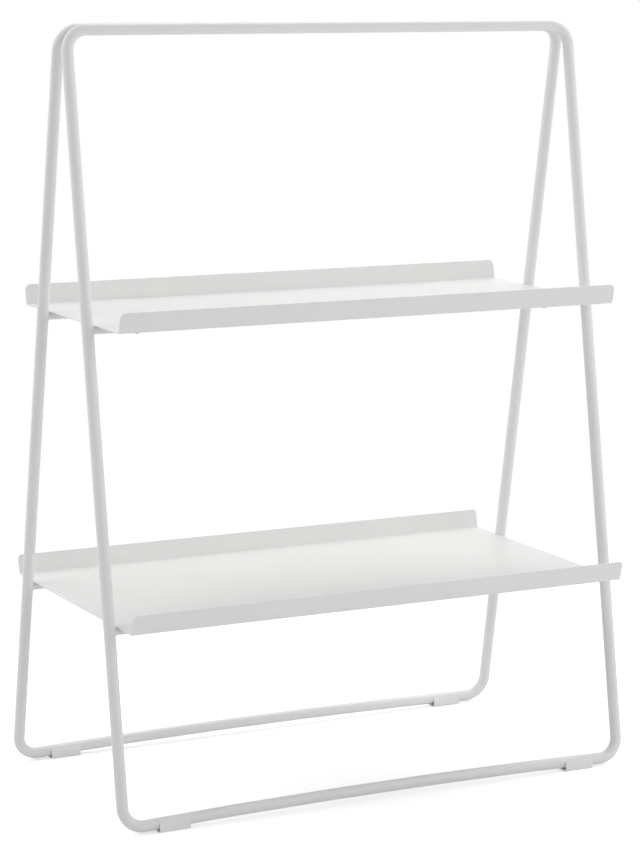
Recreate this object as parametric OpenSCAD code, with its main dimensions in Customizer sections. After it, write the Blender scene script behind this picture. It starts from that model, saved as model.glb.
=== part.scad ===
// Free-standing shelving unit. Two closed loops of bent round tube lean together at the top,
// and two folded sheet-metal shelves stand on crossbars between their legs.
// The origin is on the floor under the middle of the unit: X is its width, Y its depth with
// the front at -Y, and Z is up. All sizes are in millimetres.

/* [Tube frames] */
// Height from the floor to the top of the top bars
overall_h = 1000; // [850:5:1200]
// Distance between the middles of the left and right legs
leg_spacing = 733; // [600:1:900]
// Distance between the middles of the two bottom rails, at their lowest points
base_spacing = 360; // [300:5:440]
// Distance between the middles of the two top bars
top_spacing = 22.5; // [21:0.5:30]
// Outer diameter of the frame tube
tube_d = 15; // [12:0.5:18]
// Wall of the frame tube
tube_wall = 1.2; // [1:0.1:1.6]
// Radius of the four corner bends, to the middle of the tube
bend_r = 27; // [22:1:40]
// How far the middle of a bottom rail arches up
rail_rise = 5; // [3:0.5:10]
// Gap between the floor and the lowest point of a bottom rail
rail_gap = 1.5; // [1.5:0.5:6]

/* [Shelves] */
// Height of the underside of the upper shelf above the floor
upper_shelf_h = 628.5; // [520:0.5:760]
// Height of the underside of the lower shelf above the floor
lower_shelf_h = 257.5; // [200:0.5:320]
// Depth of the upper shelf between the outsides of its folds, at the underside
upper_shelf_depth = 306; // [250:1:370]
// Depth of the lower shelf between the outsides of its folds, at the underside
lower_shelf_depth = 378; // [320:1:460]
// Thickness of the shelf sheet
sheet_t = 1.2; // [0.8:0.1:2]
// Height of the front and rear lips above the underside
lip_h = 26.5; // [20:0.5:35]
// Angle by which the lips lean outwards from upright
lip_flare = 13; // [5:1:20]
// Outside radius of the folds
fold_r = 4; // [3:0.5:6]
// Radius of the upper corners of the upper shelf's lips
upper_corner_r = 8; // [3:0.5:12]
// Radius of the upper corners of the lower shelf's lips
lower_corner_r = 5.5; // [3:0.5:12]
// Gap between a shelf's end and the legs beside it
shelf_end_gap = 1; // [0.5:0.5:3]

/* [Crossbars] */
// Outer diameter of the crossbars under the shelves
crossbar_d = 10; // [9.5:0.5:12]
// Wall of the crossbars
crossbar_wall = 1; // [0.8:0.1:1.2]

/* [Shelf fasteners] */
// Distance of each shelf screw from the shelf's end
screw_inset = 58; // [40:1:120]
// Shank diameter of the shelf screws
screw_d = 4; // [3:0.5:4.5]
// Distance from a shelf screw's tip up to the underside of the shelf
screw_tip_gap = 2; // [1:0.5:2.5]
// Diameter of the screw heads
screw_head_d = 8; // [7:0.5:10]
// Height of the screw heads
screw_head_h = 2.6; // [2:0.1:3.2]
// Length of each arm pair of the cross recess in the screw heads
cross_len = 4.4; // [3:0.1:5]
// Width of the arms of the cross recess
cross_w = 1; // [0.6:0.1:1.4]
// Depth of the cross recess
cross_depth = 1.6; // [0.8:0.1:1.8]
// Diameter of the round nuts welded under the shelves
nut_d = 6.4; // [5.6:0.1:7]
// Height of the welded nuts
nut_h = 5; // [4:0.5:6]

/* [Top joint] */
// Distance of each top bolt from the middle of the leg beside it
top_bolt_inset = 121.5; // [60:0.5:250]
// Shank diameter of the top bolts
bolt_d = 5; // [4:0.5:6]
// Diameter of the bolt heads
bolt_head_d = 9.5; // [8:0.5:11]
// Height of the bolt heads
bolt_head_h = 2.8; // [2:0.1:3.5]
// Size across the flats of the hexagon sockets in the bolt heads
socket_af = 3; // [2:0.5:4]
// Depth of the hexagon sockets
socket_depth = 1.6; // [1:0.1:1.8]
// Distance from a bolt's tip to the end of its rivet nut
bolt_tip_gap = 2.5; // [0.5:0.5:4]
// Outer diameter of the spacers between the top bars
spacer_d = 10; // [9:0.5:11]
// Barrel diameter of the rivet nuts in the front top bar
insert_d = 7; // [6.6:0.1:7.6]
// Length of the rivet nuts' barrels
insert_len = 10; // [8:0.5:10.5]
// Flange diameter of the rivet nuts
flange_d = 10; // [9:0.5:11]
// Flange thickness of the rivet nuts
flange_t = 1; // [0.6:0.1:1.4]

/* [Foot glides] */
// Distance of each glide's middle from the middle of the leg beside it
glide_inset = 66.5; // [65:0.5:120]
// Length of a glide
glide_len = 42; // [30:1:50]
// Gap between the rail and each side wall of a glide
glide_side_gap = 0.7; // [0.3:0.1:1.5]
// Wall and floor of a glide
glide_wall = 1.6; // [1.2:0.1:1.8]
// How far the glide's walls reach above the middle of the rail
glide_grip = 2.4; // [1:0.1:3.5]
// Radius of the glide's rounded bottom edges
glide_edge_r = 1.4; // [0.6:0.1:1.5]
// Diameter of the peg that locates a glide under its rail
peg_d = 6; // [4:0.5:7]
// How far the peg reaches above the rail's inner wall
peg_reach = 3; // [1:0.5:5]

/* [Fits] */
// Clearance between a tube and the glide that clips on it
glide_clearance = 0.1; // [0.05:0.05:0.3]
// Radial clearance of threaded pieces, which are modelled without threads
thread_clearance = 0.05; // [0.02:0.01:0.1]
// Radial clearance of screws, bolts and pegs in plain holes
hole_clearance = 0.25; // [0.1:0.05:0.4]
// Radial clearance of a welded nut in its crossbar
nut_clearance = 0.3; // [0.2:0.05:0.5]

/* [Hidden] */

FRONT = -1;
REAR = 1;
LEFT = -1;
RIGHT = 1;
SIDES = [LEFT, RIGHT];

paint_colour = "#e9e9e7";
plastic_colour = "#dededb";
steel_colour = "#9d9d9b";

tube_facets = 48;
bore_facets = 32;
bend_facets = 64;
arch_steps = 12;
fold_steps = 8;
rib_t = 2;
rib_overlap = 0.5;
dome_share = 0.8;
tip_chamfer = 0.5;

tube_r = tube_d / 2;
bore_r = tube_r - tube_wall;
crossbar_r = crossbar_d / 2;

// Leaning plane of a frame: heights of its lowest line and of its top bar, and its own height
rail_low_z = tube_r + rail_gap;
top_z = overall_h - tube_r;
lean = atan((base_spacing - top_spacing) / 2 / (top_z - rail_low_z));
loop_h = rounded((top_z - rail_low_z) / cos(lean), 0.01);

// The bottom rail is one long arc, tangent to the corner bends at both ends
bend_x = leg_spacing / 2 - bend_r;
arch_angle = rounded(2 * atan(rail_rise / bend_x), 0.0001);
arch_r = bend_x / sin(arch_angle) - bend_r;
arch_centre_y = (arch_r + bend_r) * (1 - cos(arch_angle)) - arch_r;

shelf_w = leg_spacing - tube_d - 2 * shelf_end_gap;
screw_x = shelf_w / 2 - screw_inset;
screw_len = crossbar_d - screw_tip_gap;
top_bolt_x = leg_spacing / 2 - top_bolt_inset;
glide_x = leg_spacing / 2 - glide_inset;
glide_w = tube_d + 2 * (glide_side_gap + glide_wall);
fold_angle = 90 - lip_flare;
fold_setback = fold_r * tan(fold_angle / 2);
lip_len = (lip_h - fold_r * (1 - sin(lip_flare))) / cos(lip_flare);

// Rail above a glide, measured up the leaning plane and then straight up and sideways
rail_v = arch_centre_y + sqrt(arch_r * arch_r - glide_x * glide_x);
rail_z = rail_low_z + rail_v * cos(lean);
rail_y = base_spacing / 2 - rail_v * sin(lean);

function rounded(value, step) = round(value / step) * step;

// Height of the middle of the crossbar that carries a shelf
function crossbar_z(shelf_h) = shelf_h - crossbar_r;

// Distance of a leg's middle from the unit's middle plane at a height
function leg_y(z) = base_spacing / 2 - (z - rail_low_z) * tan(lean);

// Puts a shape drawn flat, with its width along X and its height along Y, in a frame's plane
module leaning(side) {
    translate([0, side * base_spacing / 2, rail_low_z])
        rotate([90 + side * lean, 0, 0])
            children();
}

// Moves by a round distance and then by the small rest, so that long radii meet exactly
module shifted(distance) {
    coarse = [for (d = distance) rounded(d, 0.1)];
    translate(coarse)
        translate(distance - coarse)
            children();
}

// One rod along Y between two heights
module upright_rod(section_r, from, to) {
    translate([0, from, 0])
        rotate([-90, 0, 0])
            cylinder(r = section_r, h = to - from, $fn = tube_facets);
}

module round_bend(section_r, start_angle, sweep) {
    rotate_extrude(angle = sweep, start = start_angle, $fn = bend_facets)
        translate([bend_r, 0])
            circle(r = section_r, $fn = tube_facets);
}

module legs(section_r) {
    for (x = SIDES * leg_spacing / 2)
        translate([x, 0, 0])
            upright_rod(section_r, bend_r, loop_h - bend_r);
}

module top_bar(section_r) {
    translate([0, loop_h, 0])
        rotate([0, 90, 0])
            cylinder(r = section_r, h = 2 * bend_x, center = true, $fn = tube_facets);
}

module bottom_rail(section_r) {
    full_turn_steps = ceil(arch_steps * 180 / arch_angle);
    shifted([0, arch_centre_y])
        rotate_extrude(angle = 2 * arch_angle, start = 90 - arch_angle, $fn = full_turn_steps)
            shifted([arch_r, 0])
                circle(r = section_r, $fn = tube_facets);
}

module corner_bends(section_r) {
    for (side = SIDES)
        mirror([side == LEFT ? 1 : 0, 0, 0]) {
            translate([bend_x, loop_h - bend_r, 0])
                round_bend(section_r, 0, 90);
            translate([bend_x, bend_r, 0])
                round_bend(section_r, -90 - arch_angle, 90 + arch_angle);
        }
}

// The whole closed loop, as a solid bar of a given section
module loop_bar(section_r) {
    legs(section_r);
    top_bar(section_r);
    bottom_rail(section_r);
    corner_bends(section_r);
}

module tube_loop(side) {
    leaning(side)
        difference() {
            loop_bar(tube_r);
            loop_bar(bore_r);
        }
}

// Holes in the undersides of a bottom rail, for the pegs of the glides
module peg_holes(side) {
    for (x = SIDES * glide_x)
        translate([x, side * rail_y, 0])
            cylinder(r = peg_d / 2 + hole_clearance, h = rail_z, $fn = bore_facets);
}

// Cylinder along Y at each top bolt, from one depth to another
module at_top_bolts(r, from, to) {
    for (x = SIDES * top_bolt_x)
        translate([x, from, top_z])
            rotate([-90, 0, 0])
                cylinder(r = r, h = to - from, $fn = bore_facets);
}

module front_frame() {
    color(paint_colour)
        difference() {
            tube_loop(FRONT);
            peg_holes(FRONT);
            at_top_bolts(insert_d / 2 + thread_clearance, -top_spacing / 2, 0);
        }
}

module rear_frame() {
    color(paint_colour)
        difference() {
            tube_loop(REAR);
            peg_holes(REAR);
            at_top_bolts(bolt_d / 2 + hole_clearance, 0, top_spacing);
        }
}

// Tube across a frame under a shelf, coped to the legs and drilled for the shelf's screws
module crossbar(shelf_h, side) {
    z = crossbar_z(shelf_h);
    y = side * leg_y(z);
    color(paint_colour)
        difference() {
            translate([0, y, z])
                rotate([0, 90, 0])
                    difference() {
                        cylinder(d = crossbar_d, h = leg_spacing, center = true, $fn = tube_facets);
                        cylinder(
                            r = crossbar_r - crossbar_wall,
                            h = leg_spacing + 1,
                            center = true,
                            $fn = tube_facets
                        );
                    }
            leaning(side)
                legs(tube_r);
            for (x = SIDES * screw_x)
                translate([x, y, z]) {
                    cylinder(r = nut_d / 2 + nut_clearance, h = crossbar_d, $fn = bore_facets);
                    translate([0, 0, -crossbar_d])
                        cylinder(r = screw_d / 2 + hole_clearance, h = crossbar_d, $fn = bore_facets);
                }
        }
}

// Points along an arc about a centre, from one angle to another
function arc_points(centre, r, from, to) = [
    for (i = [0:fold_steps])
        let (a = from + (to - from) * i / fold_steps)
            centre + r * [cos(a), sin(a)]
];

function mirrored_back(points) = [for (i = [len(points) - 1:-1:0]) [-points[i][0], points[i][1]]];

// Section of a shelf: a flat with a fold and a flared lip at both sides
module shelf_section(depth) {
    fold_centre = [depth / 2 - fold_setback, fold_r];
    outward = [cos(lip_flare), -sin(lip_flare)];
    upward = [sin(lip_flare), cos(lip_flare)];
    lip_edge = fold_centre + lip_len * upward;
    rear_half = concat(
        arc_points(fold_centre, fold_r, -90, -lip_flare),
        [lip_edge + fold_r * outward, lip_edge + (fold_r - sheet_t) * outward],
        arc_points(fold_centre, fold_r - sheet_t, -lip_flare, -90)
    );
    polygon(concat(rear_half, mirrored_back(rear_half)));
}

// Front view of a shelf, with the upper corners of its lips rounded
module shelf_outline(corner_r) {
    translate([-shelf_w / 2, 0])
        square([shelf_w, lip_h - corner_r]);
    translate([-shelf_w / 2 + corner_r, 0])
        square([shelf_w - 2 * corner_r, lip_h]);
    for (x = SIDES * (shelf_w / 2 - corner_r))
        translate([x, lip_h - corner_r])
            circle(r = corner_r, $fn = tube_facets);
}

module shelf(shelf_h, depth, corner_r) {
    color(paint_colour)
        translate([0, 0, shelf_h])
            intersection() {
                rotate([90, 0, 90])
                    linear_extrude(height = shelf_w, center = true)
                        shelf_section(depth);
                rotate([90, 0, 0])
                    linear_extrude(height = 2 * depth, center = true)
                        shelf_outline(corner_r);
            }
}

// Places of the four screws of a shelf, at the shelf's underside
module at_shelf_screws(shelf_h) {
    for (x = SIDES * screw_x, y = [FRONT, REAR] * leg_y(crossbar_z(shelf_h)))
        translate([x, y, shelf_h])
            children();
}

module shelf_nuts(shelf_h) {
    color(steel_colour)
        at_shelf_screws(shelf_h)
            translate([0, 0, -nut_h])
                difference() {
                    cylinder(d = nut_d, h = nut_h, $fn = bore_facets);
                    translate([0, 0, -1])
                        cylinder(r = screw_d / 2 + thread_clearance, h = nut_h + 2, $fn = bore_facets);
                }
}

// Shank pointing up from the origin, with a chamfered tip
module shank(d, length) {
    cylinder(d = d, h = length - tip_chamfer, $fn = bore_facets);
    translate([0, 0, length - tip_chamfer])
        cylinder(d1 = d, d2 = d - 2 * tip_chamfer, h = tip_chamfer, $fn = bore_facets);
}

// Domed head below the origin
module domed_head(d, h) {
    dome_r = dome_share * d;
    intersection() {
        translate([0, 0, -h])
            cylinder(d = d, h = h, $fn = bore_facets);
        translate([0, 0, dome_r - h])
            sphere(r = dome_r, $fn = bore_facets);
    }
}

// Pan-head screw pointing up, with its seat at the origin
module pan_head_screw() {
    shank(screw_d, screw_len);
    difference() {
        domed_head(screw_head_d, screw_head_h);
        for (turn = [0, 90])
            rotate([0, 0, turn])
                translate([-cross_len / 2, -cross_w / 2, -2 * screw_head_h])
                    cube([cross_len, cross_w, screw_head_h + cross_depth]);
    }
}

// Button-head bolt pointing up, with its seat at the origin
module button_head_bolt(length) {
    socket_r = socket_af / 2 / cos(30);
    shank(bolt_d, length);
    difference() {
        domed_head(bolt_head_d, bolt_head_h);
        translate([0, 0, -2 * bolt_head_h])
            cylinder(r = socket_r, h = bolt_head_h + socket_depth, $fn = 6);
    }
}

module shelf_screws(shelf_h) {
    color(steel_colour)
        at_shelf_screws(shelf_h)
            translate([0, 0, -crossbar_d])
                pan_head_screw();
}

// Rivet nuts set in the rear wall of the front top bar
module top_rivet_nuts() {
    seat_y = -top_spacing / 2 + tube_r;
    color(steel_colour)
        difference() {
            union() {
                at_top_bolts(insert_d / 2, seat_y - insert_len, seat_y);
                at_top_bolts(flange_d / 2, seat_y, seat_y + flange_t);
            }
            at_top_bolts(bolt_d / 2 + thread_clearance, seat_y - insert_len - 1, seat_y + flange_t + 1);
        }
}

// Short sleeves between the top bars, flat on the rivet nuts and coped to the rear bar
module top_spacers() {
    front_y = -top_spacing / 2 + tube_r + flange_t;
    color(paint_colour)
        difference() {
            at_top_bolts(spacer_d / 2, front_y, top_spacing / 2);
            at_top_bolts(bolt_d / 2 + hole_clearance, front_y - 1, top_spacing);
            leaning(REAR)
                top_bar(tube_r);
        }
}

// Bolts from the rear through the rear bar and the spacers into the rivet nuts
module top_bolts() {
    seat_y = top_spacing / 2 + tube_r;
    tip_y = -top_spacing / 2 + tube_r - insert_len + bolt_tip_gap;
    color(steel_colour)
        for (x = SIDES * top_bolt_x)
            translate([x, seat_y, top_z])
                rotate([90, 0, 0])
                    button_head_bolt(seat_y - tip_y);
}

// End view of a glide's outer shape, with rounded bottom edges
module glide_outline(height) {
    translate([-glide_w / 2, glide_edge_r])
        square([glide_w, height - glide_edge_r]);
    translate([-glide_w / 2 + glide_edge_r, 0])
        square([glide_w - 2 * glide_edge_r, height]);
    for (x = SIDES * (glide_w / 2 - glide_edge_r))
        translate([x, glide_edge_r])
            circle(r = glide_edge_r, $fn = bore_facets);
}

// Trough of a glide with its cross ribs, before the rail is cut out of it
module ribbed_trough(height) {
    channel_w = glide_w - 2 * glide_wall;
    rib_pitch = glide_len / 3;
    difference() {
        rotate([90, 0, 90])
            linear_extrude(height = glide_len, center = true)
                glide_outline(height);
        translate([-glide_len / 2 - 1, -channel_w / 2, glide_wall])
            cube([glide_len + 2, channel_w, rail_z - glide_wall + 1]);
    }
    for (x = [-rib_pitch, 0, rib_pitch])
        translate([x - rib_t / 2, -channel_w / 2 - rib_overlap, glide_wall - rib_overlap])
            cube([rib_t, channel_w + 2 * rib_overlap, rail_z - glide_wall]);
}

// Moulded clip under a bottom rail, with ribs that cradle the tube and a peg up into it
module glide(side_x, side_y) {
    color(plastic_colour) {
        difference() {
            translate([side_x * glide_x, side_y * rail_y, 0])
                ribbed_trough(rail_z + glide_grip);
            leaning(side_y)
                bottom_rail(tube_r + glide_clearance);
        }
        translate([side_x * glide_x, side_y * rail_y, glide_wall / 2])
            cylinder(d = peg_d, h = rail_z - bore_r + peg_reach - glide_wall / 2, $fn = bore_facets);
    }
}

front_frame();
rear_frame();
crossbar(upper_shelf_h, FRONT);  // upper_front_crossbar
crossbar(upper_shelf_h, REAR);  // upper_rear_crossbar
crossbar(lower_shelf_h, FRONT);  // lower_front_crossbar
crossbar(lower_shelf_h, REAR);  // lower_rear_crossbar
shelf(upper_shelf_h, upper_shelf_depth, upper_corner_r);  // upper_shelf
shelf(lower_shelf_h, lower_shelf_depth, lower_corner_r);  // lower_shelf
shelf_nuts(upper_shelf_h);  // upper_shelf_nuts
shelf_nuts(lower_shelf_h);  // lower_shelf_nuts
shelf_screws(upper_shelf_h);  // upper_shelf_screws
shelf_screws(lower_shelf_h);  // lower_shelf_screws
top_rivet_nuts();
top_spacers();
top_bolts();
glide(LEFT, FRONT);  // front_left_glide
glide(RIGHT, FRONT);  // front_right_glide
glide(LEFT, REAR);  // rear_left_glide
glide(RIGHT, REAR);  // rear_right_glide
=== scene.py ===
"""Free-standing shelving unit of bent white tube: folded sheet shelves, weld beads, screws,
bolts, foot glides and finishes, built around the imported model, with its studio stage."""

import math

import bpy
from mathutils import Matrix, Vector


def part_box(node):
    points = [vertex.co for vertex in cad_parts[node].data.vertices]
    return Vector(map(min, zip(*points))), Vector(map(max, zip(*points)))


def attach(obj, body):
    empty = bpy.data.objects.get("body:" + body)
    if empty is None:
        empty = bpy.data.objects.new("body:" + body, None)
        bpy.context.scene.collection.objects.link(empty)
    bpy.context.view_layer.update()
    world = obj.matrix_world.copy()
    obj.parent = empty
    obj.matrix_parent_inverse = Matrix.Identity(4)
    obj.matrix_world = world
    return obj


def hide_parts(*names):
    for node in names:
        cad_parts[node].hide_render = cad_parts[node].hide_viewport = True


bl_info = {
    "name": "Shelving Unit",
    "version": (1, 0, 0),
    "blender": (4, 5, 0),
    "location": "View3D > Sidebar > Shelving Unit",
    "description": "Builds the details, finishes and stage of a tube shelving unit",
    "category": "Object",
}

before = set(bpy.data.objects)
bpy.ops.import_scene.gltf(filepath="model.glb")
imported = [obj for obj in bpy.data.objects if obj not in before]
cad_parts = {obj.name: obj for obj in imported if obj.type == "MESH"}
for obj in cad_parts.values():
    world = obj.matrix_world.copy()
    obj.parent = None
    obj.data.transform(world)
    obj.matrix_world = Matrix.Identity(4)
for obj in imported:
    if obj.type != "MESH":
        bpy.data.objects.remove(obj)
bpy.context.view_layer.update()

MM = 0.001
MERGE_DISTANCE = 0.002 * MM

COAT_SLOT = "white_powder_coat"
PLASTIC_SLOT = "white_plastic"
ZINC_SLOT = "zinc_steel"

FRONT, REAR = -1, 1
LEFT, RIGHT = -1, 1

COATED_NODES = (
    "front_frame",
    "rear_frame",
    "upper_front_crossbar",
    "upper_rear_crossbar",
    "lower_front_crossbar",
    "lower_rear_crossbar",
    "top_spacers",
)
ZINC_NODES = ("upper_shelf_nuts", "lower_shelf_nuts", "top_rivet_nuts")
GLIDE_NODES = ("front_left_glide", "front_right_glide", "rear_left_glide", "rear_right_glide")


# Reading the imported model


def node_size(node):
    low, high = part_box(node)
    return high - low


def node_middle(node):
    low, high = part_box(node)
    return (low + high) / 2


# Modelling helpers


def deselect_all():
    if bpy.context.object and bpy.context.object.mode != "OBJECT":
        bpy.ops.object.mode_set(mode="OBJECT")
    bpy.ops.object.select_all(action="DESELECT")


def make_active(piece):
    deselect_all()
    piece.select_set(True)
    bpy.context.view_layer.objects.active = piece


def named(name):
    piece = bpy.context.object
    piece.name = name
    piece.data.name = name
    return piece


def edit(piece):
    make_active(piece)
    bpy.ops.object.mode_set(mode="EDIT")
    bpy.ops.mesh.select_all(action="DESELECT")


def leave_edit():
    bpy.ops.object.mode_set(mode="OBJECT")


def select_vertices(piece, test):
    """Selects the vertices whose world place passes the test, in edit mode."""
    bpy.ops.mesh.select_all(action="DESELECT")
    bpy.ops.mesh.select_mode(type="VERT")
    bpy.ops.object.mode_set(mode="OBJECT")
    for vertex in piece.data.vertices:
        vertex.select = test(piece.matrix_world @ vertex.co)
    found = any(vertex.select for vertex in piece.data.vertices)
    bpy.ops.object.mode_set(mode="EDIT")
    if not found:
        raise RuntimeError(f"{piece.name}: nothing is at the place to select")


def extrude(move):
    bpy.ops.mesh.extrude_region_move(TRANSFORM_OT_translate={"value": move})


def apply_modifier(piece, kind, **settings):
    modifier = piece.modifiers.new(kind.title(), kind)
    for key, value in settings.items():
        setattr(modifier, key, value)
    make_active(piece)
    bpy.ops.object.modifier_apply(modifier=modifier.name)


def at_origin(piece):
    """Puts the piece's place in its mesh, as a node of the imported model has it."""
    make_active(piece)
    bpy.ops.object.transform_apply(location=True, rotation=True, scale=True)


def recalculate_outside(piece):
    edit(piece)
    bpy.ops.mesh.select_all(action="SELECT")
    bpy.ops.mesh.normals_make_consistent(inside=False)
    leave_edit()


def smooth_edges(piece, width, segments, angle=50):
    """Rounds the sharp edges and keeps the flats flat in shading."""
    apply_modifier(
        piece,
        "BEVEL",
        width=width,
        segments=segments,
        limit_method="ANGLE",
        angle_limit=math.radians(angle),
        use_clamp_overlap=True,
    )
    make_active(piece)
    bpy.ops.object.shade_smooth()
    apply_modifier(piece, "WEIGHTED_NORMAL", mode="FACE_AREA", weight=50, keep_sharp=False)


def copied(piece, name, turn=None, move=(0, 0, 0)):
    """A copy with its own mesh, turned about the origin and moved."""
    make_active(piece)
    bpy.ops.object.duplicate(linked=False)
    copy = named(name)
    copy.matrix_world = Matrix.Translation(move) @ (turn or Matrix.Identity(4)) @ copy.matrix_world
    at_origin(copy)
    if turn and turn.determinant() < 0:
        recalculate_outside(copy)
    return copy


def softened_copy(node, name, rim):
    """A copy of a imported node, with whole faces for its triangles and its sharp edges rounded."""
    deselect_all()
    copy = bpy.data.objects.new(name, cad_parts[node].data.copy())
    bpy.context.scene.collection.objects.link(copy)
    copy.data.name = name
    make_active(copy)
    bpy.ops.mesh.customdata_custom_splitnormals_clear()
    edit(copy)
    bpy.ops.mesh.select_all(action="SELECT")
    bpy.ops.mesh.remove_doubles(threshold=MERGE_DISTANCE)
    bpy.ops.mesh.dissolve_limited(angle_limit=math.radians(0.5))
    leave_edit()
    smooth_edges(copy, rim, segments=2, angle=40)
    return copy


def joined(pieces, name):
    deselect_all()
    for piece in pieces:
        piece.select_set(True)
    bpy.context.view_layer.objects.active = pieces[0]
    if len(pieces) > 1:
        bpy.ops.object.join()
    return named(name)


def finish_piece(piece, slot, material, *nodes):
    """Gives the piece its material and its body, and hides the nodes it stands for; the slot is not
    used.
    """
    at_origin(piece)
    piece.data.materials.clear()
    piece.data.materials.append(material)
    if nodes:
        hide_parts(*nodes)
    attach(piece, "root")
    deselect_all()


# Materials


class Wire:
    """One output socket in a material, on which Python's operators add Math nodes."""

    def __init__(self, shader, socket):
        self.shader = shader
        self.socket = socket

    def maths(self, operation, *values, clamp=False):
        settings = {"operation": operation, "use_clamp": clamp}
        return self.shader.node("ShaderNodeMath", settings, dict(enumerate(values)))

    def __add__(self, other):
        return self.maths("ADD", self, other)

    def __sub__(self, other):
        return self.maths("SUBTRACT", self, other)

    def __mul__(self, other):
        return self.maths("MULTIPLY", self, other)

    def band(self, low, high):
        """0 below low, 1 above high and a straight line between them."""
        return self.maths("MULTIPLY", self - low, 1 / (high - low), clamp=True)


class Shader:
    """A material, or the world's shading, that is built node by node."""

    # The Mix node's sockets share their names between its data types, so these go by number
    MIX_FIRST_COLOUR, MIX_SECOND_COLOUR, MIX_RESULT = 6, 7, 2

    def __init__(self, owner):
        self.owner = owner
        owner.use_nodes = True
        self.tree = owner.node_tree
        self.tree.nodes.clear()

    def node(self, kind, settings=None, values=None, output=0):
        """Adds a node with its settings, values and links, and gives one of its outputs."""
        node = self.tree.nodes.new(kind)
        for key, value in (settings or {}).items():
            setattr(node, key, value)
        for key, value in (values or {}).items():
            if isinstance(value, Wire):
                self.tree.links.new(value.socket, node.inputs[key])
            else:
                node.inputs[key].default_value = value
        return Wire(self, node.outputs[output]) if len(node.outputs) else None

    def place(self):
        return self.node("ShaderNodeTexCoord", output="Object")

    def noise(self, place, scale, detail, roughness):
        values = {"Vector": place, "Scale": scale, "Detail": detail, "Roughness": roughness}
        return self.node("ShaderNodeTexNoise", None, values, "Fac")

    def mix(self, factor, first, second):
        """Mixes two colours."""
        values = {"Factor": factor, self.MIX_FIRST_COLOUR: first, self.MIX_SECOND_COLOUR: second}
        return self.node("ShaderNodeMix", {"data_type": "RGBA"}, values, self.MIX_RESULT)

    def bump(self, height, distance):
        values = {"Height": height, "Distance": distance, "Strength": 1.0}
        return self.node("ShaderNodeBump", None, values)

    def surface(self, **sockets):
        """The Principled surface, whose sockets are named with underscores for spaces."""
        values = {key.replace("_", " "): value for key, value in sockets.items()}
        surface = self.node("ShaderNodeBsdfPrincipled", None, values)
        self.node("ShaderNodeOutputMaterial", None, {"Surface": surface})
        return self.owner


def tinted(colour, factor):
    return tuple(min(1.0, c * factor) for c in colour[:3]) + (1.0,)


def powder_coat():
    """Satin white powder coat: soft orange-peel relief, and slight changes of tone and gloss."""
    finish = bpy.context.scene.shelving_finish
    shader = Shader(bpy.data.materials.new("white_powder_coat_satin"))
    place = shader.place()
    cloud = shader.noise(place, scale=9.0, detail=3, roughness=0.55)
    peel = shader.noise(place, scale=620.0, detail=2, roughness=0.5)
    grain = shader.noise(place, scale=2900.0, detail=1, roughness=0.5)
    tone = shader.mix(
        cloud.band(0.3, 0.7),
        tinted(finish.coat_colour, 0.985),
        tinted(finish.coat_colour, 1.01),
    )
    speckled = shader.mix(grain.band(0.35, 0.65) * 0.2, tone, tinted(finish.coat_colour, 0.96))
    gloss = (cloud - 0.5) * 0.08 + (grain - 0.5) * 0.1 + finish.coat_roughness
    relief = peel * 0.8 + grain * 0.2
    return shader.surface(
        Base_Color=speckled,
        Roughness=gloss,
        Metallic=0.0,
        IOR=1.5,
        Normal=shader.bump(relief, finish.peel_depth),
    )


def moulded_plastic():
    """Matte white plastic with the fine grain of its mould and faint flow lines."""
    finish = bpy.context.scene.shelving_finish
    shader = Shader(bpy.data.materials.new("white_plastic_moulded"))
    place = shader.place()
    stretched = shader.node(
        "ShaderNodeMapping", None, {"Vector": place, "Scale": (0.25, 1.0, 1.0)}
    )
    flow = shader.noise(stretched, scale=160.0, detail=3, roughness=0.6)
    grain = shader.noise(place, scale=2300.0, detail=3, roughness=0.6)
    tone = shader.mix(
        flow.band(0.35, 0.65),
        tinted(finish.plastic_colour, 0.975),
        tinted(finish.plastic_colour, 1.01),
    )
    gloss = (flow - 0.5) * 0.1 + (grain - 0.5) * 0.16 + finish.plastic_roughness
    return shader.surface(
        Base_Color=tone,
        Roughness=gloss,
        Metallic=0.0,
        IOR=1.48,
        Normal=shader.bump(grain, finish.mould_grain),
    )


def zinc_plate():
    """Bright zinc plating with a faint bluish and straw cast and the marks of turning; its colour
    is set darker than plain zinc's, partly as painted shade for the screw heads in shadow under the
    shelves.
    """
    finish = bpy.context.scene.shelving_finish
    shader = Shader(bpy.data.materials.new("zinc_steel_bright"))
    place = shader.place()
    cast = shader.noise(place, scale=210.0, detail=3, roughness=0.6)
    marks = shader.noise(place, scale=1900.0, detail=2, roughness=0.6)
    # The zinc colour is darker than plain zinc's, partly painted shade for the screw heads lying in
    # shadow
    red, green, blue = finish.steel_colour
    bluish = (red * 0.96, green, blue * 1.05, 1.0)
    straw = (red * 1.04, green, blue * 0.93, 1.0)
    tone = shader.mix(cast.band(0.35, 0.65), bluish, straw)
    gloss = (cast - 0.5) * 0.16 + (marks - 0.5) * 0.14 + finish.steel_roughness
    return shader.surface(
        Base_Color=tone,
        Roughness=gloss,
        Metallic=1.0,
        Normal=shader.bump(marks, finish.turning_marks),
    )


MATERIAL_MAKERS = {COAT_SLOT: powder_coat, PLASTIC_SLOT: moulded_plastic, ZINC_SLOT: zinc_plate}
made_materials = {}


def material_of(slot):
    if slot not in made_materials:
        made_materials[slot] = MATERIAL_MAKERS[slot]()
    return made_materials[slot]


# Settings


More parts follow.
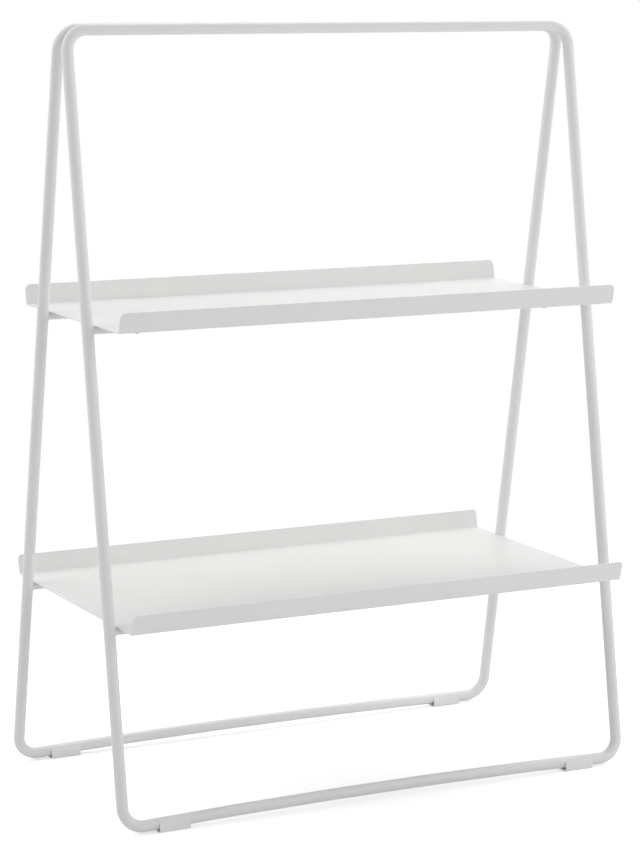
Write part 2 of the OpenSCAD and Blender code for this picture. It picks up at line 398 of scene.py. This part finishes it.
class ShelfSettings(bpy.types.PropertyGroup):
    """Sizes of the folded sheet shelves"""

    sheet: bpy.props.FloatProperty(
        name="Sheet", description="Thickness of the shelf sheet",
        default=1.2 * MM, min=0.0005, unit="LENGTH",
    )
    fold: bpy.props.FloatProperty(
        name="Fold radius", description="Outside radius of the folds",
        default=4 * MM, min=0.002, unit="LENGTH",
    )
    flare: bpy.props.FloatProperty(
        name="Flare", description="Angle by which the lips lean outwards from upright",
        default=math.radians(13), subtype="ANGLE", unit="ROTATION",
    )
    upper_corner: bpy.props.FloatProperty(
        name="Upper shelf's corners",
        description="Radius of the upper corners of the upper shelf's lips",
        default=8 * MM, min=0.001, unit="LENGTH",
    )
    lower_corner: bpy.props.FloatProperty(
        name="Lower shelf's corners",
        description="Radius of the upper corners of the lower shelf's lips",
        default=5.5 * MM, min=0.001, unit="LENGTH",
    )
    rim: bpy.props.FloatProperty(
        name="Rim radius", description="Radius of the cut edges under their coat",
        default=0.3 * MM, min=0.0001, unit="LENGTH",
    )


class JointSettings(bpy.types.PropertyGroup):
    """Sizes of the welds and fasteners"""

    bead: bpy.props.FloatProperty(
        name="Weld bead", description="Half the thickness of a weld bead",
        default=0.8 * MM, min=0.0003, unit="LENGTH",
    )
    tube: bpy.props.FloatProperty(
        name="Tube", description="Outer diameter of the frame tube",
        default=15 * MM, min=0.005, unit="LENGTH",
    )
    fastener_rim: bpy.props.FloatProperty(
        name="Fastener rim", description="Radius of the edges of the screws and bolts",
        default=0.08 * MM, min=0.00002, unit="LENGTH",
    )
    glide_rim: bpy.props.FloatProperty(
        name="Glide rim", description="Radius of the edges of the moulded glides",
        default=0.25 * MM, min=0.0001, unit="LENGTH",
    )


class FinishSettings(bpy.types.PropertyGroup):
    """Colours and surfaces"""

    coat_colour: bpy.props.FloatVectorProperty(
        name="Powder coat", description="Colour of the powder coat",
        default=(0.86, 0.86, 0.85), size=3, min=0, max=1, subtype="COLOR",
    )
    coat_roughness: bpy.props.FloatProperty(
        name="Coat roughness", description="Roughness of the powder coat",
        default=0.4, min=0, max=1,
    )
    peel_depth: bpy.props.FloatProperty(
        name="Orange peel", description="Depth of the powder coat's orange-peel relief",
        default=0.000015, min=0, precision=6, unit="LENGTH",
    )
    plastic_colour: bpy.props.FloatVectorProperty(
        name="Plastic", description="Colour of the foot glides",
        default=(0.9, 0.9, 0.89), size=3, min=0, max=1, subtype="COLOR",
    )
    plastic_roughness: bpy.props.FloatProperty(
        name="Plastic roughness", description="Roughness of the foot glides",
        default=0.55, min=0, max=1,
    )
    # Set darker than plain zinc's, partly as painted shade for the screw heads in shadow under the
    # shelves
    steel_colour: bpy.props.FloatVectorProperty(
        name="Zinc", description="Colour of the screws, bolts and nuts",
        default=(0.45, 0.45, 0.44), size=3, min=0, max=1, subtype="COLOR",
    )
    steel_roughness: bpy.props.FloatProperty(
        name="Zinc roughness", description="Roughness of the zinc plating",
        default=0.34, min=0, max=1,
    )
    mould_grain: bpy.props.FloatProperty(
        name="Mould grain", description="Depth of the grain on the foot glides",
        default=0.00002, min=0, precision=6, unit="LENGTH",
    )
    turning_marks: bpy.props.FloatProperty(
        name="Turning marks", description="Depth of the marks of turning on the fasteners",
        default=0.000012, min=0, precision=6, unit="LENGTH",
    )


class StageSettings(bpy.types.PropertyGroup):
    """Camera, light and floor"""

    lens: bpy.props.FloatProperty(
        name="Lens", description="Focal length on a sensor 36 mm wide", default=158.2, min=10,
    )
    yaw: bpy.props.FloatProperty(
        name="Yaw", description="Turn of the view to the right of straight ahead",
        default=math.radians(27.46), subtype="ANGLE", unit="ROTATION",
    )
    pitch: bpy.props.FloatProperty(
        name="Pitch", description="Downward tilt of the view",
        default=math.radians(9.88), subtype="ANGLE", unit="ROTATION",
    )
    roll: bpy.props.FloatProperty(
        name="Roll", description="Roll of the camera about its view",
        default=math.radians(0.42), subtype="ANGLE", unit="ROTATION",
    )
    camera_place: bpy.props.FloatVectorProperty(
        name="Camera", description="Place of the camera", default=(-1.7078, -3.2844, 1.1080),
        size=3, subtype="TRANSLATION", unit="LENGTH",
    )
    sky: bpy.props.FloatProperty(
        name="Sky", description="Strength of the even light from all around", default=0.26, min=0,
    )
    floor_glow: bpy.props.FloatProperty(
        name="Floor glow", description="White that the camera sees on the floor besides its light",
        default=0.44, min=0, max=1,
    )
    floor_reach: bpy.props.FloatProperty(
        name="Floor reach", description="Distance at which the floor is plain white to the camera",
        default=1.6, min=0.5, unit="LENGTH",
    )
    floor_colour: bpy.props.FloatVectorProperty(
        name="Floor", description="Colour of the floor", default=(0.9, 0.9, 0.9),
        size=3, min=0, max=1, subtype="COLOR",
    )


# Pieces


class SHELVING_OT_coat_frames(bpy.types.Operator):
    """Coat the tube frames, the crossbars and the spacers, and plate the nuts"""

    bl_idname = "shelving.coat_frames"
    bl_label = "Coat Frames"

    def execute(self, context):
        for slot, nodes in ((COAT_SLOT, COATED_NODES), (ZINC_SLOT, ZINC_NODES)):
            for name in nodes:
                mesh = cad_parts[name].data
                mesh.materials.clear()
                mesh.materials.append(material_of(slot))
        return {"FINISHED"}


class SHELVING_OT_fold_shelves(bpy.types.Operator):
    """Fold each shelf from one sheet, with flared lips and rounded edges"""

    bl_idname = "shelving.fold_shelves"
    bl_label = "Fold Shelves"

    FOLD_STEPS = 18
    CORNER_STEPS = 10
    # Width of the strips on both sides of a fold, which keep its shading off the flats
    MARGIN = 2 * MM
    # Slack in selecting the sheet's edge, and the distance at which its doubled vertices merge
    TOLERANCE = 0.01 * MM
    MERGE = 0.001 * MM

    def lip(self, piece, side, flat_edge, lip_length, settings, under):
        """Spins the fold from one edge of the flat and draws the lip up from it."""
        select_vertices(piece, lambda p: side * p.y > flat_edge - self.MARGIN - self.TOLERANCE)
        extrude((0, side * self.MARGIN, 0))
        bpy.ops.mesh.spin(
            steps=self.FOLD_STEPS,
            angle=-side * (math.pi / 2 - settings.flare),
            center=(0, side * flat_edge, under + settings.fold),
            axis=(1, 0, 0),
        )
        rise = Vector((0, side * math.sin(settings.flare), math.cos(settings.flare)))
        extrude(tuple(rise * self.MARGIN))
        extrude(tuple(rise * (lip_length - self.MARGIN)))

    def fold(self, name, corner, settings):
        low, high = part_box(name)
        width = high.x - low.x
        rise = high.z - low.z - settings.fold
        rise -= (settings.sheet - settings.fold) * math.sin(settings.flare)
        lip_length = rise / math.cos(settings.flare)
        # The fold and the leaning lip reach out past the edge of the flat
        fold_reach = settings.fold * math.cos(settings.flare)
        outer_rise = high.z - low.z - settings.fold * (1 - math.sin(settings.flare))
        flat_edge = high.y - fold_reach - outer_rise * math.tan(settings.flare)

        deselect_all()
        bpy.ops.mesh.primitive_plane_add(size=1, location=(0, 0, low.z))
        piece = named(name + "_folded_sheet")
        bpy.ops.transform.resize(value=(width, 2 * (flat_edge - self.MARGIN), 1))
        at_origin(piece)
        edit(piece)
        bpy.ops.mesh.select_mode(type="VERT")
        for side in (FRONT, REAR):
            self.lip(piece, side, flat_edge, lip_length, settings, low.z)
        select_vertices(piece, lambda p: p.z > high.z - settings.sheet)
        bpy.ops.mesh.bevel(
            affect="VERTICES", offset_type="OFFSET", offset=corner, segments=self.CORNER_STEPS
        )
        bpy.ops.mesh.select_all(action="SELECT")
        bpy.ops.mesh.remove_doubles(threshold=self.MERGE)
        bpy.ops.mesh.normals_make_consistent(inside=False)
        leave_edit()
        # The sheet thickens upwards from its underside, so its faces have to look down
        upwards = sum(face.normal.z * face.area for face in piece.data.polygons)
        if upwards > 0:
            edit(piece)
            bpy.ops.mesh.select_all(action="SELECT")
            bpy.ops.mesh.flip_normals()
            leave_edit()
        apply_modifier(
            piece, "SOLIDIFY", thickness=settings.sheet, offset=-1, use_even_offset=True
        )
        smooth_edges(piece, settings.rim, segments=3)
        finish_piece(piece, COAT_SLOT, material_of(COAT_SLOT), name)

    def execute(self, context):
        settings = context.scene.shelving_shelves
        self.fold("upper_shelf", settings.upper_corner, settings)
        self.fold("lower_shelf", settings.lower_corner, settings)
        return {"FINISHED"}


class SHELVING_OT_weld_crossbars(bpy.types.Operator):
    """Lay a weld bead along the sides and the underside of each crossbar's coped ends"""

    bl_idname = "shelving.weld_crossbars"
    bl_label = "Weld Crossbars"

    RINGS = 96
    RING_SIDES = 12
    # Rings whose angle is nearer than this to straight up are left out, under the shelf
    OPEN_HALF_ANGLE = math.radians(42)
    # The bead thins out towards its two ends over this angle
    TAPER_ANGLE = math.radians(14)
    THINNEST = 0.35
    # Size of the rings of one ripple, over and over
    RIPPLE = (0.93, 1.0, 1.04, 1.0)

    def angle_between(self, first, second):
        return abs((first - second + math.pi) % math.tau - math.pi)

    def shape_ring(self, piece, middle, radius, angle, ripple, leg_x, leg_r, lean):
        """Moves one ring of the bead onto the leg's round side and gives it its thickness."""
        across, up = radius * math.cos(angle), radius * math.sin(angle)
        off_axis = across * math.cos(lean) + up * math.sin(lean)
        leg_side = leg_x - math.sqrt(leg_r**2 - off_axis**2)
        place = Vector((leg_side, middle.y + across, middle.z + up))
        half_step = math.pi / self.RINGS

        def on_ring(p):
            turn = math.atan2(p.z - middle.z, p.y - middle.y)
            return self.angle_between(turn, angle) < half_step

        select_vertices(piece, on_ring)
        bpy.ops.transform.translate(value=(place.x, 0, 0))
        from_top = self.angle_between(angle, math.pi / 2)
        taper = min(1.0, self.THINNEST + (from_top - self.OPEN_HALF_ANGLE) / self.TAPER_ANGLE)
        size = ripple * taper
        bpy.ops.transform.resize(value=(size, size, size), center_override=place)

    def bead(self, name, node, settings):
        """A bead at the right end of a rear crossbar."""
        middle = node_middle(node)
        middle.x = 0
        leg_r = settings.tube / 2
        leg_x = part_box("rear_frame")[1].x - leg_r
        foot, head = node_middle("lower_rear_crossbar"), node_middle("upper_rear_crossbar")
        lean = math.atan2(foot.y - head.y, head.z - foot.z)
        radius = node_size(node).z / 2 + settings.bead / 4
        deselect_all()
        bpy.ops.mesh.primitive_torus_add(
            major_segments=self.RINGS,
            minor_segments=self.RING_SIDES,
            major_radius=radius,
            minor_radius=settings.bead,
            location=middle,
            rotation=(math.pi / 2, 0, math.pi / 2),
        )
        piece = named(name)
        at_origin(piece)
        edit(piece)

        def near_top(p):
            angle = math.atan2(p.z - middle.z, p.y - middle.y)
            return abs(angle - math.pi / 2) < self.OPEN_HALF_ANGLE

        select_vertices(piece, near_top)
        bpy.ops.mesh.delete(type="VERT")
        for ring in range(self.RINGS):
            angle = math.tau * ring / self.RINGS
            if self.angle_between(angle, math.pi / 2) >= self.OPEN_HALF_ANGLE:
                ripple = self.RIPPLE[ring % len(self.RIPPLE)]
                self.shape_ring(piece, middle, radius, angle, ripple, leg_x, leg_r, lean)
        bpy.ops.mesh.select_mode(type="EDGE")
        bpy.ops.mesh.select_all(action="DESELECT")
        bpy.ops.mesh.select_non_manifold()
        bpy.ops.mesh.fill_holes(sides=self.RING_SIDES)
        leave_edit()
        recalculate_outside(piece)
        make_active(piece)
        bpy.ops.object.shade_smooth_by_angle(angle=math.radians(60))
        return piece

    def execute(self, context):
        settings = context.scene.shelving_joints
        first = self.bead("weld_bead", "upper_rear_crossbar", settings)
        start = node_middle("upper_rear_crossbar")
        beads = []
        for side in (FRONT, REAR):
            depth = "front" if side == FRONT else "rear"
            for level in ("upper", "lower"):
                place = node_middle(f"{level}_{depth}_crossbar")
                for end in (LEFT, RIGHT):
                    turn = Matrix.Diagonal((end, side, 1, 1))
                    move = (0, place.y - side * start.y, place.z - start.z)
                    beads.append(copied(first, f"{level}_{depth}_weld_{end}", turn, move))
        deselect_all()
        bpy.data.objects.remove(first)
        welds = joined(beads, "crossbar_weld_beads")
        finish_piece(welds, COAT_SLOT, material_of(COAT_SLOT))
        return {"FINISHED"}


class SHELVING_OT_drive_screws(bpy.types.Operator):
    """Copy the shelf screws with their pan heads, round their edges and plate them with zinc"""

    bl_idname = "shelving.drive_screws"
    bl_label = "Drive Screws"

    def execute(self, context):
        rim = context.scene.shelving_joints.fastener_rim
        for name in ("upper_shelf_screws", "lower_shelf_screws"):
            screws = softened_copy(name, name.replace("shelf", "pan_head"), rim)
            finish_piece(screws, ZINC_SLOT, material_of(ZINC_SLOT), name)
        return {"FINISHED"}


class SHELVING_OT_set_bolts(bpy.types.Operator):
    """Copy the two top bolts with their domed heads, round their edges and plate them with zinc"""

    bl_idname = "shelving.set_bolts"
    bl_label = "Set Bolts"

    def execute(self, context):
        rim = context.scene.shelving_joints.fastener_rim
        bolts = softened_copy("top_bolts", "top_button_head_bolts", rim)
        finish_piece(bolts, ZINC_SLOT, material_of(ZINC_SLOT), "top_bolts")
        return {"FINISHED"}


class SHELVING_OT_mould_glides(bpy.types.Operator):
    """Mould the four foot glides with soft edges"""

    bl_idname = "shelving.mould_glides"
    bl_label = "Mould Glides"

    def execute(self, context):
        rim = context.scene.shelving_joints.glide_rim
        for name in GLIDE_NODES:
            glide = softened_copy(name, name + "_moulded", rim)
            finish_piece(glide, PLASTIC_SLOT, material_of(PLASTIC_SLOT), name)
        return {"FINISHED"}


# Stage

WHITE = (1, 1, 1, 1)
FLOOR_SIZE = 24
# Width of the camera's sensor in mm
SENSOR_WIDTH = 36
# Where the lamps point, at half the unit's height
LAMP_AIM = Vector((0, 0, 0.5))
# Name, place, width, height and power of each soft lamp
LAMPS = (
    ("high_right_softbox", (1.89, 1.09, 3.1), 3.2, 2.8, 53.0),
    ("high_left_softbox", (-1.89, 1.09, 3.1), 3.2, 2.8, 38.0),
    ("front_softbox", (0, -3.2, 1.66), 3.2, 2.2, 23.0),
    ("right_softbox", (2.77, -1.6, 1.66), 3.2, 2.2, 27.5),
    ("left_softbox", (-2.77, 1.6, 1.66), 3.2, 2.2, 21.0),
)


class SHELVING_OT_set_stage(bpy.types.Operator):
    """Set the floor, the soft lamps, the white surroundings and the camera"""

    bl_idname = "shelving.set_stage"
    bl_label = "Set Stage"

    def seen_directly(self, shader):
        """1 for rays from the camera, and for those by way of gloss or glass."""
        rays = shader.tree.nodes.new("ShaderNodeLightPath")
        camera = Wire(shader, rays.outputs["Is Camera Ray"])
        glossy = Wire(shader, rays.outputs["Is Glossy Ray"])
        through = Wire(shader, rays.outputs["Is Transmission Ray"])
        return camera.maths("MAXIMUM", camera.maths("MAXIMUM", camera, glossy), through)

    def surroundings(self, scene, settings):
        scene.world = bpy.data.worlds.new("white_surroundings")
        shader = Shader(scene.world)
        seen = self.seen_directly(shader)
        strength = seen * (1 - settings.sky) + settings.sky
        light = shader.node("ShaderNodeBackground", None, {"Color": WHITE, "Strength": strength})
        shader.node("ShaderNodeOutputWorld", None, {"Surface": light})

    def floor(self, settings):
        deselect_all()
        bpy.ops.mesh.primitive_plane_add(size=FLOOR_SIZE, location=(0, 0, 0))
        floor = named("studio_floor")
        shader = Shader(bpy.data.materials.new("pale_studio_floor"))
        cloud = shader.noise(shader.place(), scale=0.7, detail=2, roughness=0.5)
        tone = shader.mix(
            cloud, tinted(settings.floor_colour, 0.99), tinted(settings.floor_colour, 1.0)
        )
        matte = shader.node("ShaderNodeBsdfDiffuse", None, {"Color": tone})
        seen = self.seen_directly(shader)
        glow = shader.node(
            "ShaderNodeEmission", None, {"Color": WHITE, "Strength": seen * settings.floor_glow}
        )
        lit = shader.node("ShaderNodeAddShader", None, {0: matte, 1: glow})
        # Away from the object the floor turns into the white surroundings
        values = {"Vector": shader.place()}
        distance = shader.node("ShaderNodeVectorMath", {"operation": "LENGTH"}, values, "Value")
        white = shader.node("ShaderNodeEmission", None, {"Color": WHITE, "Strength": 1.0})
        away = distance.band(settings.floor_reach / 2, settings.floor_reach) * seen
        surface = shader.node("ShaderNodeMixShader", None, {0: away, 1: lit, 2: white})
        shader.node("ShaderNodeOutputMaterial", None, {"Surface": surface})
        floor.data.materials.append(shader.owner)

    def lamps(self):
        for name, place, width, height, power in LAMPS:
            deselect_all()
            bpy.ops.object.light_add(type="AREA", location=place)
            lamp = named(name)
            lamp.data.shape = "RECTANGLE"
            lamp.data.size = width
            lamp.data.size_y = height
            lamp.data.energy = power
            lamp.visible_camera = False
            lamp.rotation_euler = (LAMP_AIM - Vector(place)).to_track_quat("-Z", "Y").to_euler()

    def camera(self, scene, settings):
        deselect_all()
        bpy.ops.object.camera_add(location=settings.camera_place)
        camera = named("photo_camera")
        camera.data.sensor_fit = "HORIZONTAL"
        camera.data.sensor_width = SENSOR_WIDTH
        camera.data.lens = settings.lens
        camera.data.clip_end = 100
        turn = (
            Matrix.Rotation(-settings.yaw, 4, "Z")
            @ Matrix.Rotation(math.pi / 2 - settings.pitch, 4, "X")
            @ Matrix.Rotation(settings.roll, 4, "Z")
        )
        camera.matrix_world = Matrix.Translation(settings.camera_place) @ turn
        scene.camera = camera

    def execute(self, context):
        scene = context.scene
        settings = scene.shelving_stage
        scene.view_settings.view_transform = "Standard"
        self.surroundings(scene, settings)
        self.floor(settings)
        self.lamps()
        self.camera(scene, settings)
        return {"FINISHED"}


class SHELVING_PT_sidebar(bpy.types.Panel):
    """Lists the steps that build the shelving unit"""

    bl_idname = "SHELVING_PT_sidebar"
    bl_label = "Shelving Unit"
    bl_space_type = "VIEW_3D"
    bl_region_type = "UI"
    bl_category = "Shelving Unit"

    def draw(self, context):
        for step in STEPS:
            self.layout.operator(step.bl_idname)
        for group in GROUPS:
            box = self.layout.box()
            settings = getattr(context.scene, group)
            for key in settings.__annotations__:
                box.prop(settings, key)


STEPS = (
    SHELVING_OT_set_stage,
    SHELVING_OT_coat_frames,
    SHELVING_OT_fold_shelves,
    SHELVING_OT_weld_crossbars,
    SHELVING_OT_drive_screws,
    SHELVING_OT_set_bolts,
    SHELVING_OT_mould_glides,
)
GROUPS = {
    "shelving_shelves": ShelfSettings,
    "shelving_joints": JointSettings,
    "shelving_finish": FinishSettings,
    "shelving_stage": StageSettings,
}


def register():
    for group in GROUPS.values():
        bpy.utils.register_class(group)
    for name, group in GROUPS.items():
        setattr(bpy.types.Scene, name, bpy.props.PointerProperty(type=group))
    for step in STEPS:
        bpy.utils.register_class(step)
    bpy.utils.register_class(SHELVING_PT_sidebar)


def unregister():
    bpy.utils.unregister_class(SHELVING_PT_sidebar)
    for step in reversed(STEPS):
        bpy.utils.unregister_class(step)
    for name, group in GROUPS.items():
        delattr(bpy.types.Scene, name)
        bpy.utils.unregister_class(group)


def main():
    register()
    for step in STEPS:
        area, action = step.bl_idname.split(".")
        getattr(getattr(bpy.ops, area), action)()


if __name__ == "__main__":
    main()
